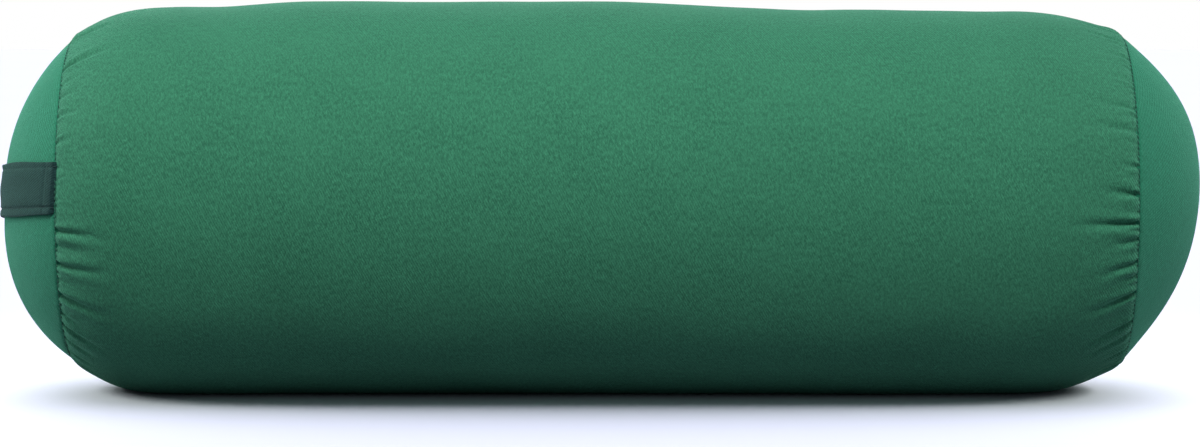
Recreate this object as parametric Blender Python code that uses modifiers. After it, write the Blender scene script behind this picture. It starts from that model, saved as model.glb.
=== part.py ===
"""Round bolster pillow: a zipped cover with a carry strap, over a lined, wadded foam core.

+X runs along the bolster and the carry strap is on its -X end. +Z is up, and the back seam with the
zip faces +Y. The origin is the middle of the rectangle that the bolster covers, on the surface that
it lies on. All sizes are in metres.
"""

import math

import bmesh
import bpy

# Overall sizes of the cover.
COVER_LENGTH = 0.689
BODY_RADIUS = 0.1142
BASE_SINK = 0.0040  # how far the bolster settles into a flat contact patch
END_DEPTH = 0.041  # crown of an end panel, from its seam to its pole
END_SPHERE_RADIUS = 0.127
SHOULDER_LENGTH = 0.073  # from a seam to where the body is straight
SHOULDER_POWER = 2.2

# Cloth, wadding and the gaps between them.
COVER_WALL = 0.0012
COVER_EASE = 0.0028  # room between cover and liner, which the zip fills
LINER_WALL = 0.0008
LAYER_GAP = 0.0003
WRAP_GAP = 0.0007
SEAM_GAP = 0.0012
LINER_SEAM_GAP = 0.0006
THREAD_RADIUS = 0.00025
CORE_RADIUS = 0.080
CORE_LENGTH = 0.524

# Carry strap.
STRAP_WIDTH = 0.030
STRAP_THICKNESS = 0.0016
STRAP_GAP = 0.0005  # between the strap and the panel that it lies on
STRAP_RISE = 0.0047  # height of the strap's middle over the bolster's axis
STRAP_TURN = math.radians(-4.6)  # about X: the strap is sewn in a little higher at the front
STRAP_END_GAP = 0.0006
TACK_INSET = 0.009  # tack row, from the seam
TACK_WIDTH = 0.0008
TACK_MARGIN = 0.0045
TACK_THICKNESS = 0.0004

# Zip, set into the back seam. Depths are measured from the cover's outer surface.
ZIP_ANGLE = math.radians(30)  # above the horizontal
ZIP_OPENING = 0.430
ZIP_END_GAP = 0.0005
TAPE_OVERRUN = 0.012
TAPE_GAP = 0.0005
TAPE_WALL = 0.0006
TAPE_INNER_EDGE = 0.0009
TAPE_OUTER_EDGE = 0.013
COIL_INNER_EDGE = 0.0007
COIL_OUTER_EDGE = 0.0029
COIL_HEIGHT = 0.0016
COIL_BEVEL = 0.0004
STOP_LENGTH = 0.0030
SLIDER_LENGTH = 0.0100
SLIDER_PLATE = 0.0010
SLIDER_RIM = 0.0008
SLIDER_FLOOR_GAP = 0.0004
SLIDER_CLEARANCE = 0.0003
SLIDER_STOP_GAP = 0.0004
SLOT_CLEARANCE = 0.0006
BRIDGE_WIDTH = 0.0008
BRIDGE_LENGTH = 0.0030
CROWN_WIDTH = 0.0016
CROWN_SPAN = 0.0024
CROWN_POST = 0.0008
CROWN_BAR = 0.0006
PULL_PIN_RADIUS = 0.00045
PULL_PIN_LIFT = 0.00035
PULL_ARM_WIDTH = 0.0010
PULL_ARM_GAP = 0.0004
PULL_REACH = 0.0032  # from the pin to the solid part of the tab
PULL_LENGTH = 0.0210
PULL_WIDTH = 0.0056
PULL_THICKNESS = 0.0009

# How finely the round pieces are divided.
COVER_STEPS = 48
INNER_STEPS = 40
SHOULDER_STEPS = 5
MIN_STEP = 0.002  # stations nearer than this to an end are left out
DOME_POINTS = 7
OVERLAP = 0.0001  # how far the shapes of one piece reach into each other before they are united

# Derived places. X is measured from the middle of the cover.
AXIS_HEIGHT = BODY_RADIUS - BASE_SINK
SEAM_X = COVER_LENGTH / 2 - END_DEPTH
SPHERE_X = COVER_LENGTH / 2 - END_SPHERE_RADIUS
SEAM_RADIUS = math.sqrt(END_SPHERE_RADIUS**2 - (SEAM_X - SPHERE_X) ** 2)
COVER_SHIFT = (STRAP_GAP + STRAP_THICKNESS) / 2
LINER_INSET = COVER_WALL + COVER_EASE
LINER_FLOOR = COVER_WALL + LAYER_GAP
FILL_INSET = LINER_INSET + LINER_WALL + WRAP_GAP
FILL_FLOOR = LINER_FLOOR + LINER_WALL + LAYER_GAP
TAPE_TOP = -(COVER_WALL + TAPE_GAP)
COIL_BOTTOM = TAPE_TOP + LAYER_GAP
COIL_TOP = COIL_BOTTOM + COIL_HEIGHT
PLATE_BOTTOM = COIL_TOP + SLIDER_CLEARANCE
PLATE_TOP = PLATE_BOTTOM + SLIDER_PLATE
FLOOR_PLATE_TOP = TAPE_TOP - TAPE_WALL - SLIDER_FLOOR_GAP
SLIDER_HALF_WIDTH = COIL_OUTER_EDGE + SLIDER_CLEARANCE + SLIDER_RIM
STOP_OUTER_X = ZIP_OPENING / 2 - ZIP_END_GAP
STOP_INNER_X = STOP_OUTER_X - STOP_LENGTH
SLIDER_X = STOP_INNER_X - SLIDER_STOP_GAP - SLIDER_LENGTH / 2
PIN_HEIGHT = PLATE_TOP + PULL_PIN_LIFT + PULL_PIN_RADIUS


def clear_scene():
    for item in list(bpy.data.objects):
        bpy.data.objects.remove(item, do_unlink=True)


def new_collection(name):
    collection = bpy.data.collections.new(name)
    bpy.context.scene.collection.children.link(collection)
    return collection


def new_frame(name, collection, parent, location, turn=0.0):
    """An empty that carries pieces: turn is about X."""
    frame = bpy.data.objects.new(name, None)
    frame.location = location
    frame.rotation_euler = (turn, 0, 0)
    frame.parent = parent
    collection.objects.link(frame)
    return frame


def new_material(name, colour, roughness, metallic=0.0):
    material = bpy.data.materials.new(name)
    material.use_nodes = True
    shader = material.node_tree.nodes["Principled BSDF"]
    shader.inputs["Base Color"].default_value = (*colour, 1)
    shader.inputs["Roughness"].default_value = roughness
    shader.inputs["Metallic"].default_value = metallic
    return material


def new_piece(name, shape, collection, parent, material=None, location=(0, 0, 0)):
    """Turns a finished bmesh into an object of its own."""
    bmesh.ops.recalc_face_normals(shape, faces=shape.faces)
    mesh = bpy.data.meshes.new(name)
    shape.to_mesh(mesh)
    shape.free()
    piece = bpy.data.objects.new(name, mesh)
    piece.location = location
    piece.parent = parent
    if material:
        mesh.materials.append(material)
    collection.objects.link(piece)
    return piece


def smooth(piece, sharp_angle=35):
    piece.data.shade_smooth()
    piece.data.set_sharp_from_angle(angle=math.radians(sharp_angle))


def barrel_radius(x):
    """Outer radius of the cover's body at a distance along it from the middle."""
    past = (abs(x) - (SEAM_X - SHOULDER_LENGTH)) / SHOULDER_LENGTH
    return BODY_RADIUS - (BODY_RADIUS - SEAM_RADIUS) * max(past, 0.0) ** SHOULDER_POWER


def barrel_point(x, inset):
    """A point of the body's outline, moved inwards along its normal."""
    probe = 1e-5
    slope = (barrel_radius(x + probe) - barrel_radius(x - probe)) / (2 * probe)
    length = math.hypot(1, slope)
    return x + inset * slope / length, barrel_radius(x) - inset / length


def barrel_curve(inset, x_from, x_to):
    """Body outline between two stations. Every layer turns at the same stations, so none cuts another."""
    straight = SEAM_X - SHOULDER_LENGTH
    step = SHOULDER_LENGTH / SHOULDER_STEPS
    stations = [straight + i * step for i in range(SHOULDER_STEPS + 1)]
    stations += [-x for x in stations] + [straight / 3, -straight / 3]
    low, high = sorted((x_from, x_to))
    between = [x for x in stations if low + MIN_STEP < x < high - MIN_STEP]
    ordered = sorted([low, high, *between], reverse=x_from > x_to)
    return [barrel_point(x, inset) for x in ordered]


def dome_curve(inset, gap, count):
    """End outline from beside the body's edge to the pole, on the +X end."""
    radius = END_SPHERE_RADIUS - inset
    edge_x = barrel_point(SEAM_X, inset)[0] + gap
    widest = math.acos((edge_x - SPHERE_X) / radius)
    angles = [widest * (1 - i / (count - 1)) for i in range(count)]
    return [(SPHERE_X + radius * math.cos(a), radius * math.sin(a)) for a in angles]


def with_floor(points, floor):
    return [(x, radius, floor) for x, radius in points]


def turned_shape(outline, steps):
    """Spins an outline of (x, radius, floor) about X. A floor is the lowest a point may hang."""
    shape = bmesh.new()
    floor_layer = shape.verts.layers.float.new("floor")
    ring = []
    for x, radius, floor in outline:
        vertex = shape.verts.new((x, max(radius, 0.0), 0))
        vertex[floor_layer] = floor
        ring.append(vertex)
    closed = min(radius for _, radius, _ in outline) > 0
    pairs = list(zip(ring, ring[1:])) + ([(ring[-1], ring[0])] if closed else [])
    edges = [shape.edges.new(pair) for pair in pairs]
    bmesh.ops.spin(
        shape,
        geom=ring + edges,
        cent=(0, 0, 0),
        axis=(1, 0, 0),
        angle=2 * math.pi,
        steps=steps,
        use_merge=True,
    )
    bmesh.ops.remove_doubles(shape, verts=shape.verts, dist=1e-6)
    for vertex in shape.verts:
        vertex.co.z = max(vertex.co.z, vertex[floor_layer] - AXIS_HEIGHT)
    return shape


def mirror_outline(outline):
    return [(-x, radius, floor) for x, radius, floor in outline]


def tube_outline(outer_inset, wall, floor, gap):
    """Closed outline of the wall of a body tube, pulled back from each seam by half the gap."""
    end = SEAM_X - gap / 2
    outer = barrel_curve(outer_inset, -end, end)
    inner = barrel_curve(outer_inset + wall, end, -end)
    return with_floor(outer, floor) + with_floor(inner, floor + wall)


def cap_outline(outer_inset, wall, gap, count):
    """Outline of the wall of an end panel: out along its outside and back along its inside."""
    outer = dome_curve(outer_inset, gap / 2, count)
    inner = dome_curve(outer_inset + wall, gap / 2, count)
    outer[-1] = (outer[-1][0], 0.0)
    inner[-1] = (inner[-1][0], 0.0)
    return with_floor(list(reversed(inner)) + outer, 0.0)


def box_shape(low, high, bevel=0.0, segments=2):
    shape = bmesh.new()
    bmesh.ops.create_cube(shape, size=1)
    for vertex in shape.verts:
        for axis in range(3):
            vertex.co[axis] = low[axis] if vertex.co[axis] < 0 else high[axis]
    if bevel:
        bmesh.ops.bevel(shape, geom=shape.edges, offset=bevel, segments=segments, affect="EDGES")
    return shape


def cut_or_unite(piece, tool, operation):
    tool.hide_render = True
    tool.display_type = "WIRE"
    change = piece.modifiers.new(tool.name, "BOOLEAN")
    change.operation = operation
    change.object = tool


def unite_boxes(piece, boxes, tools, parent, location=(0, 0, 0)):
    for i, (low, high) in enumerate(boxes):
        tool = new_piece(f"{piece.name}_shape_{i}", box_shape(low, high), tools, parent, None, location)
        cut_or_unite(piece, tool, "UNION")


def strap_shape(radius, low, high, from_share, to_share, columns, rows):
    """A strip of the sphere over the left end. Shares run from -1 at the front seam to 1 at the back."""
    shape = bmesh.new()
    bmesh.ops.create_grid(shape, x_segments=columns, y_segments=rows, size=1)
    end_reach = SEAM_X + STRAP_END_GAP - SPHERE_X
    for vertex in shape.verts:
        share = from_share + (to_share - from_share) * (vertex.co.x + 1) / 2
        height = low + (high - low) * (vertex.co.y + 1) / 2
        level = math.sqrt(radius**2 - height**2)
        turn = share * math.acos(end_reach / level)
        vertex.co = (-SPHERE_X - level * math.cos(turn), level * math.sin(turn), height)
    return shape


def tape_shape(side):
    """Strip of zip tape on one side of the chain, curved with the cover. Side is 1 above, -1 below."""
    shape = bmesh.new()
    radius = BODY_RADIUS + TAPE_TOP
    reach = ZIP_OPENING / 2 + TAPE_OVERRUN
    inner = side * TAPE_INNER_EDGE / radius
    sweep = side * (TAPE_OUTER_EDGE - TAPE_INNER_EDGE) / radius
    across = (radius * math.cos(inner), radius * math.sin(inner))
    ends = [shape.verts.new((x, *across)) for x in (-reach, reach)]
    edge = shape.edges.new(ends)
    bmesh.ops.spin(shape, geom=[*ends, edge], cent=(0, 0, 0), axis=(1, 0, 0), angle=sweep, steps=4)
    return shape


def thicken(piece, amount, offset):
    wall = piece.modifiers.new("wall", "SOLIDIFY")
    wall.thickness = amount
    wall.offset = offset


def face_out_from(shape, centre):
    """Turns an open surface so that all of it faces away from a point."""
    bmesh.ops.recalc_face_normals(shape, faces=shape.faces)
    shape.faces.ensure_lookup_table()
    face = shape.faces[0]
    away = [face.calc_center_median()[i] - centre[i] for i in range(3)]
    if sum(face.normal[i] * away[i] for i in range(3)) < 0:
        bmesh.ops.reverse_faces(shape, faces=shape.faces)


def open_piece(name, shape, centre, collection, parent, material, wall, offset):
    """Like new_piece, for an open surface that is then given a thickness."""
    face_out_from(shape, centre)
    mesh = bpy.data.meshes.new(name)
    shape.to_mesh(mesh)
    shape.free()
    piece = bpy.data.objects.new(name, mesh)
    piece.parent = parent
    mesh.materials.append(material)
    collection.objects.link(piece)
    thicken(piece, wall, offset)
    smooth(piece)
    return piece


def build_cover(parts, tools, axis, zip_frame, cloth, thread):
    body_outline = tube_outline(0.0, COVER_WALL, 0.0, SEAM_GAP)
    body = new_piece("cover_body_panel", turned_shape(body_outline, COVER_STEPS), parts, axis, cloth)
    half_slot = SLIDER_HALF_WIDTH + SLOT_CLEARANCE
    reach = 3 * COVER_WALL
    slot = box_shape(
        (-ZIP_OPENING / 2, BODY_RADIUS - reach, -half_slot),
        (ZIP_OPENING / 2, BODY_RADIUS + reach, half_slot),
    )
    cut_or_unite(body, new_piece("zip_slot", slot, tools, zip_frame), "DIFFERENCE")
    smooth(body)

    cap = cap_outline(0.0, COVER_WALL, SEAM_GAP, DOME_POINTS)
    ring = []
    for i in range(4):
        turn = math.pi * i / 2
        lift = THREAD_RADIUS * (math.sin(turn) - 1)
        ring.append((SEAM_X + THREAD_RADIUS * math.cos(turn), SEAM_RADIUS + lift, 0.0))
    for side, turn_over in (("right", lambda outline: outline), ("left", mirror_outline)):
        panel = turned_shape(turn_over(cap), COVER_STEPS)
        smooth(new_piece(f"cover_end_panel_{side}", panel, parts, axis, cloth))
        seam = turned_shape(turn_over(ring), COVER_STEPS)
        smooth(new_piece(f"seam_thread_{side}", seam, parts, axis, thread), 100)


def build_strap(parts, strap_frame, webbing, thread):
    inside = END_SPHERE_RADIUS + STRAP_GAP
    low = STRAP_RISE - STRAP_WIDTH / 2
    high = STRAP_RISE + STRAP_WIDTH / 2
    centre = (-SPHERE_X, 0, 0)
    strap = strap_shape(inside, low, high, -1, 1, 24, 4)
    open_piece("handle_strap", strap, centre, parts, strap_frame, webbing, STRAP_THICKNESS, 1)

    outside = inside + STRAP_THICKNESS + LAYER_GAP
    half_arc = outside * math.acos((SEAM_X + STRAP_END_GAP - SPHERE_X) / outside)
    near = 1 - (TACK_INSET + TACK_WIDTH) / half_arc
    far = 1 - TACK_INSET / half_arc
    rows = (("front", -far, -near), ("rear", near, far))
    for side, start, end in rows:
        tack = strap_shape(outside, low + TACK_MARGIN, high - TACK_MARGIN, start, end, 2, 4)
        open_piece(f"handle_stitching_{side}", tack, centre, parts, strap_frame, thread, TACK_THICKNESS, 1)


def build_filling(parts, axis, lining, wadding, foam):
    liner = tube_outline(LINER_INSET, LINER_WALL, LINER_FLOOR, LINER_SEAM_GAP)
    smooth(new_piece("liner_body", turned_shape(liner, INNER_STEPS), parts, axis, lining))

    half = CORE_LENGTH / 2
    wrap_outer = barrel_curve(FILL_INSET, -half, half)
    wrap_inner = [(half, CORE_RADIUS + WRAP_GAP), (-half, CORE_RADIUS + WRAP_GAP)]
    wrap_outer[0] = (-half, wrap_outer[0][1])
    wrap_outer[-1] = (half, wrap_outer[-1][1])
    wrap = with_floor(wrap_outer + wrap_inner, FILL_FLOOR)
    smooth(new_piece("batting_wrap", turned_shape(wrap, INNER_STEPS), parts, axis, wadding))

    core = with_floor([(-half, 0.0), (-half, CORE_RADIUS), (half, CORE_RADIUS), (half, 0.0)], FILL_FLOOR)
    smooth(new_piece("foam_core", turned_shape(core, INNER_STEPS), parts, axis, foam))

    start = half + WRAP_GAP
    shoulder = barrel_curve(FILL_INSET, start, SEAM_X)
    shoulder[0] = (start, barrel_point(start, FILL_INSET)[1])
    crown = dome_curve(FILL_INSET, LINER_SEAM_GAP, DOME_POINTS - 1)
    crown[-1] = (crown[-1][0], 0.0)
    pad = with_floor([(start, 0.0)] + shoulder + crown, FILL_FLOOR)
    cap = cap_outline(LINER_INSET, LINER_WALL, LINER_SEAM_GAP, DOME_POINTS - 1)
    for side, turn_over in (("right", lambda outline: outline), ("left", mirror_outline)):
        panel = turned_shape(turn_over(cap), INNER_STEPS)
        smooth(new_piece(f"liner_end_{side}", panel, parts, axis, lining))
        dome = turned_shape(turn_over(pad), INNER_STEPS)
        smooth(new_piece(f"fibre_end_pad_{side}", dome, parts, axis, wadding))


def build_zip_chain(parts, zip_frame, tape, coil, metal):
    top = BODY_RADIUS + COIL_TOP
    bottom = BODY_RADIUS + COIL_BOTTOM
    coil_end = STOP_INNER_X - LAYER_GAP
    for name, side in (("upper", 1), ("lower", -1)):
        strip = tape_shape(side)
        open_piece(f"zip_tape_{name}", strip, (0, 0, 0), parts, zip_frame, tape, TAPE_WALL, -1)
        near, far = sorted((side * COIL_INNER_EDGE, side * COIL_OUTER_EDGE))
        row = box_shape((-coil_end, bottom, near), (coil_end, top, far), COIL_BEVEL)
        new_piece(f"zip_coil_{name}", row, parts, zip_frame, coil)
        stop = box_shape((STOP_INNER_X, bottom, near), (STOP_OUTER_X, top, far), COIL_BEVEL)
        new_piece(f"zip_top_stop_{name}", stop, parts, zip_frame, metal)
    stop = box_shape(
        (-STOP_OUTER_X, bottom, -COIL_OUTER_EDGE), (-STOP_INNER_X, top, COIL_OUTER_EDGE), COIL_BEVEL
    )
    new_piece("zip_bottom_stop", stop, parts, zip_frame, metal)


def build_slider(parts, tools, zip_frame, metal):
    """Two plates joined by the bridge between the rows, with rims beside them and a crown on top."""
    place = (SLIDER_X, BODY_RADIUS, 0)
    half_length = SLIDER_LENGTH / 2
    half_width = SLIDER_HALF_WIDTH
    plate_low = (-half_length, PLATE_BOTTOM, -half_width)
    plate_high = (half_length, PLATE_TOP, half_width)
    plate = box_shape(plate_low, plate_high, SLIDER_PLATE / 4, 1)
    slider = new_piece("zip_slider", plate, parts, zip_frame, metal, place)
    rim_inside = half_width - SLIDER_RIM
    rim_top = PLATE_BOTTOM + OVERLAP
    rim_end = half_length - OVERLAP
    bridge_end = half_length - SLIDER_RIM
    crown_half = CROWN_SPAN / 2 + CROWN_POST
    crown_under = PIN_HEIGHT + PULL_PIN_RADIUS + SLIDER_CLEARANCE
    crown_top = crown_under + CROWN_BAR
    width = CROWN_WIDTH / 2
    boxes = [
        (
            (-half_length, FLOOR_PLATE_TOP - SLIDER_PLATE, -half_width),
            (half_length, FLOOR_PLATE_TOP, half_width),
        ),
        (
            (bridge_end - BRIDGE_LENGTH, FLOOR_PLATE_TOP - OVERLAP, -BRIDGE_WIDTH / 2),
            (bridge_end, rim_top, BRIDGE_WIDTH / 2),
        ),
        ((-rim_end, COIL_BOTTOM, rim_inside), (rim_end, rim_top, half_width)),
        ((-rim_end, COIL_BOTTOM, -half_width), (rim_end, rim_top, -rim_inside)),
        ((-crown_half, PLATE_TOP - OVERLAP, -width), (-crown_half + CROWN_POST, crown_top, width)),
        ((crown_half - CROWN_POST, PLATE_TOP - OVERLAP, -width), (crown_half, crown_top, width)),
        (
            (-crown_half + OVERLAP, crown_under, OVERLAP - width),
            (crown_half - OVERLAP, crown_top - OVERLAP, width - OVERLAP),
        ),
    ]
    unite_boxes(slider, boxes, tools, zip_frame, place)


def build_pull(parts, tools, zip_frame, metal):
    """Tab with two arms and the pin between them that turns under the slider's crown."""
    place = (SLIDER_X, BODY_RADIUS + PIN_HEIGHT, 0)
    half = PULL_THICKNESS / 2
    wide = PULL_WIDTH / 2
    tab = box_shape((-PULL_LENGTH, -half, -wide), (-PULL_REACH, half, wide), PULL_THICKNESS / 4, 1)
    pull = new_piece("zip_pull_tab", tab, parts, zip_frame, metal, place)
    arm_inside = CROWN_WIDTH / 2 + PULL_ARM_GAP
    arm_outside = arm_inside + PULL_ARM_WIDTH
    thin = half - OVERLAP
    arm_start = -PULL_REACH - PULL_THICKNESS
    boxes = [
        ((arm_start, -thin, arm_inside), (PULL_PIN_RADIUS, thin, arm_outside)),
        ((arm_start, -thin, -arm_outside), (PULL_PIN_RADIUS, thin, -arm_inside)),
    ]
    unite_boxes(pull, boxes, tools, zip_frame, place)
    pin = bmesh.new()
    bmesh.ops.create_cone(
        pin,
        cap_ends=True,
        segments=12,
        radius1=PULL_PIN_RADIUS - OVERLAP,
        radius2=PULL_PIN_RADIUS - OVERLAP,
        depth=2 * arm_outside - PULL_ARM_WIDTH,
    )
    cut_or_unite(pull, new_piece("zip_pull_tab_pin", pin, tools, zip_frame, None, place), "UNION")


def main():
    clear_scene()
    parts = new_collection("bolster_pillow")
    tools = new_collection("cutters")
    axis = new_frame("bolster_axis", parts, None, (COVER_SHIFT, 0, AXIS_HEIGHT))
    zip_frame = new_frame("zip_frame", parts, axis, (0, 0, 0), ZIP_ANGLE)
    strap_frame = new_frame("strap_frame", parts, axis, (0, 0, 0), STRAP_TURN)

    cloth = new_material("green_twill", (0.045, 0.215, 0.130), 0.82)
    webbing = new_material("strap_cloth", (0.030, 0.090, 0.085), 0.85)
    thread = new_material("thread", (0.020, 0.075, 0.055), 0.70)
    tape = new_material("zip_tape", (0.030, 0.110, 0.075), 0.85)
    coil = new_material("zip_coil", (0.020, 0.080, 0.055), 0.45)
    metal = new_material("zip_metal", (0.300, 0.310, 0.300), 0.35, 1.0)
    lining = new_material("liner_cotton", (0.780, 0.750, 0.680), 0.90)
    wadding = new_material("wadding", (0.880, 0.880, 0.860), 0.95)
    foam = new_material("foam", (0.850, 0.780, 0.520), 0.95)

    build_cover(parts, tools, axis, zip_frame, cloth, thread)
    build_strap(parts, strap_frame, webbing, thread)
    build_filling(parts, axis, lining, wadding, foam)
    build_zip_chain(parts, zip_frame, tape, coil, metal)
    build_slider(parts, tools, zip_frame, metal)
    build_pull(parts, tools, zip_frame, metal)


main()
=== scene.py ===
"""Looks of the round bolster pillow: gathered twill cover, crowned ends, carry strap, back zip, filling."""

import math
from contextlib import contextmanager

import bmesh
import bpy
import numpy as np
from mathutils import Matrix, Vector, noise


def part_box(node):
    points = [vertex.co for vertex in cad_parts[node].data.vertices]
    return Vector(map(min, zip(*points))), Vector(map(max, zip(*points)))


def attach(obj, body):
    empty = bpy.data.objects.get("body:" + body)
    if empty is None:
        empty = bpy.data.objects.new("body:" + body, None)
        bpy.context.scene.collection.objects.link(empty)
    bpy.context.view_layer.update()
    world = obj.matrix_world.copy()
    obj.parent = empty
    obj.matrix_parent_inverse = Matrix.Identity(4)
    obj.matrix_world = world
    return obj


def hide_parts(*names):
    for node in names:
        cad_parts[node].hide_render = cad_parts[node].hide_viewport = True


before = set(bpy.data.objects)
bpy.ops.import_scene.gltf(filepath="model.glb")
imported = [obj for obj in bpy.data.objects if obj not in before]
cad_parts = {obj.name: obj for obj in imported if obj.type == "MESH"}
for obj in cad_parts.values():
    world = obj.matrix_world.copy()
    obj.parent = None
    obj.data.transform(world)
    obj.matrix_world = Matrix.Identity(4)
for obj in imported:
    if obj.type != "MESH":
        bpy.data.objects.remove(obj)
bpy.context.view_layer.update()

# The cover's main places, read from the frame. Angles go round X: 0 back, 90 top, 180 front, 270 below.
body_low, body_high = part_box("cover_body_panel")
RADIUS = (body_high.y - body_low.y) / 2
AXIS_Z = body_high.z - RADIUS
CENTRE_X = (body_low.x + body_high.x) / 2
SEAM_GAP = 0.0012
SEAM_HALF = (body_high.x - body_low.x + SEAM_GAP) / 2
POLE_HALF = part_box("cover_end_panel_right")[1].x - CENTRE_X
END_DEPTH = POLE_HALF - SEAM_HALF
SPHERE = 0.127  # radius of the ball that an end panel is part of
SEAM_RADIUS = math.sqrt(SPHERE**2 - (SPHERE - END_DEPTH) ** 2)
SHOULDER = 0.073  # length over which the body narrows to its seams
SHOULDER_POWER = 2.8
RIGHT_SHOULDER_POWER = 2.0  # the looser right half falls away sooner
SLIMMER = 0.0026  # how much thinner the less tightly packed right half is at its front
LEFT_DROOP = 0.0014  # the left shoulder starts to fall away before its gathers, above all on top
COVER_PLAY = 0.0004  # room left for gathers and swell, below the greatest size
END_PLAY = 0.0012

# Back seam and zip.
ZIP_ANGLE = math.radians(30)
ZIP_HALF = 0.2150
SLOT_HALF = 0.0045
SLOT_TAPER = 0.010
TAPE_DEPTH = 0.0017

TAU = 2 * math.pi
SIDES = {-1: "left", 1: "right"}
ZIP_SIDES = {"upper": 1, "lower": -1}


# ---------------------------------------------------------------- small helpers


def smoothstep(low, high, value):
    t = np.clip((value - low) / (high - low), 0, 1)
    return t * t * (3 - 2 * t)


def clear_selection():
    if bpy.context.object and bpy.context.object.mode != "OBJECT":
        bpy.ops.object.mode_set(mode="OBJECT")
    bpy.ops.object.select_all(action="DESELECT")


def choose(piece):
    clear_selection()
    piece.select_set(True)
    bpy.context.view_layer.objects.active = piece


def link(piece):
    bpy.context.scene.collection.objects.link(piece)


@contextmanager
def editing(piece, kind="VERT", chosen="SELECT"):
    """Opens a piece's mesh for editing, with all of it chosen or none of it."""
    choose(piece)
    bpy.ops.object.mode_set(mode="EDIT")
    bpy.ops.mesh.select_mode(type=kind)
    bpy.ops.mesh.select_all(action=chosen)
    yield
    bpy.ops.object.mode_set(mode="OBJECT")


def choose_parts(piece, kind, wanted):
    """Chooses the edges or faces of an opened piece that pass a test."""
    opened = bmesh.from_edit_mesh(piece.data)
    for part in getattr(opened, kind):
        part.select_set(wanted(part))
    bmesh.update_edit_mesh(piece.data)


def finish_place(piece):
    """Puts a piece's place into its mesh, so that its object sits at the origin."""
    choose(piece)
    bpy.ops.object.transform_apply(location=True, rotation=True, scale=True)
    return piece


def apply_modifiers(piece):
    choose(piece)
    for modifier in list(piece.modifiers):
        bpy.ops.object.modifier_apply(modifier=modifier.name)
    return piece


def cloth_grid(name, columns, rows):
    """A flat grid to be shaped, with the share along (0 to 1) and across (0 to 1) of each corner."""
    clear_selection()
    bpy.ops.mesh.primitive_grid_add(x_subdivisions=columns, y_subdivisions=rows, size=2)
    piece = bpy.context.object
    piece.name = name
    piece.data.name = name
    flat = corners(piece)
    return piece, (flat[:, 0] + 1) / 2, (flat[:, 1] + 1) / 2


def corners(piece):
    mesh = piece.data
    found = np.empty(len(mesh.vertices) * 3)
    mesh.vertices.foreach_get("co", found)
    return found.reshape(-1, 3)


def place(piece, points):
    piece.data.vertices.foreach_set("co", np.ascontiguousarray(points, dtype=np.float32).ravel())
    piece.data.update()


def give_uv(piece, along, across):
    """Cloth coordinates in metres, so that a weave keeps its real size."""
    mesh = piece.data
    layer = mesh.uv_layers.active or mesh.uv_layers.new(name="UVMap")
    index = np.empty(len(mesh.loops), dtype=np.int32)
    mesh.loops.foreach_get("vertex_index", index)
    layer.data.foreach_set("uv", np.stack([along[index], across[index]], axis=1).astype(np.float32).ravel())


def round_axis(x, radius, angle, centre_x=0.0, centre_z=0.0):
    """Places at a radius and an angle round the bolster's axis."""
    return np.stack([centre_x + x, radius * np.cos(angle), centre_z + radius * np.sin(angle)], axis=1)


def ease_edges(piece, width, segments):
    easing = piece.modifiers.new("eased edges", "BEVEL")
    easing.width = width
    easing.segments = segments
    easing.limit_method = "ANGLE"


def thicken(piece, thickness):
    wall = piece.modifiers.new("thickness", "SOLIDIFY")
    wall.thickness = thickness
    wall.offset = -1


def close_up(piece, distance=1e-5, centre=None):
    """Merges corners that meet and turns every face outwards."""
    shape = bmesh.new()
    shape.from_mesh(piece.data)
    bmesh.ops.remove_doubles(shape, verts=shape.verts, dist=distance)
    bmesh.ops.recalc_face_normals(shape, faces=shape.faces)
    if centre is not None:
        shape.faces.ensure_lookup_table()
        total = sum(
            (face.calc_center_median() - Vector(centre)).dot(face.normal) * face.calc_area()
            for face in list(shape.faces)[:: max(1, len(shape.faces) // 500)]
        )
        if total < 0:
            bmesh.ops.reverse_faces(shape, faces=shape.faces)
    shape.to_mesh(piece.data)
    shape.free()
    piece.data.shade_smooth()
    return piece


def lumps(points, size, seed=0.0):
    """Soft noise from -1 to 1, with bumps of about the given size."""
    shift = Vector((seed, seed * 1.7, seed * 0.3))
    return np.array([noise.noise(Vector(p) / size + shift) for p in points])


# ---------------------------------------------------------------- outline of the cover


def slimmer(x, angle):
    """How much lower the cover lies where it is packed less tightly. The zip keeps its straight line."""
    from_zip = np.abs((angle - ZIP_ANGLE + math.pi) % TAU - math.pi)
    clear_of_zip = smoothstep(math.radians(12), math.radians(52), from_zip)
    left_shoulder = smoothstep(0.165, 0.225, -x) * (1 - smoothstep(0.245, 0.295, -x))
    looser = SLIMMER * smoothstep(0.0, 0.13, x) + LEFT_DROOP * left_shoulder
    return looser * (1 + np.sin(angle)) * clear_of_zip


def shoulder_share(x):
    power = np.where(x > 0, RIGHT_SHOULDER_POWER, SHOULDER_POWER)
    return np.clip((np.abs(x) - (SEAM_HALF - SHOULDER)) / SHOULDER, 0, 1) ** power


def outline_radius(x, angle, inset=0.0):
    full = RADIUS - COVER_PLAY - inset - slimmer(x, angle)
    return full - (full - (SEAM_RADIUS - inset)) * shoulder_share(x)


def dome_depth(radius, side):
    """Distance from an end's pole plane to its panel. The right end is packed flatter in its middle."""
    share = np.clip(radius / SEAM_RADIUS, 0, 1)
    if side > 0:
        return END_DEPTH * share**2.55
    return SPHERE - np.sqrt(SPHERE**2 - (share * SEAM_RADIUS) ** 2)


RIGHT_SEAM_SHIFT = 0.0055  # the right seam is drawn in, so more of that end panel shows
RIGHT_SEAM_GROWTH = 0.022


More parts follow.
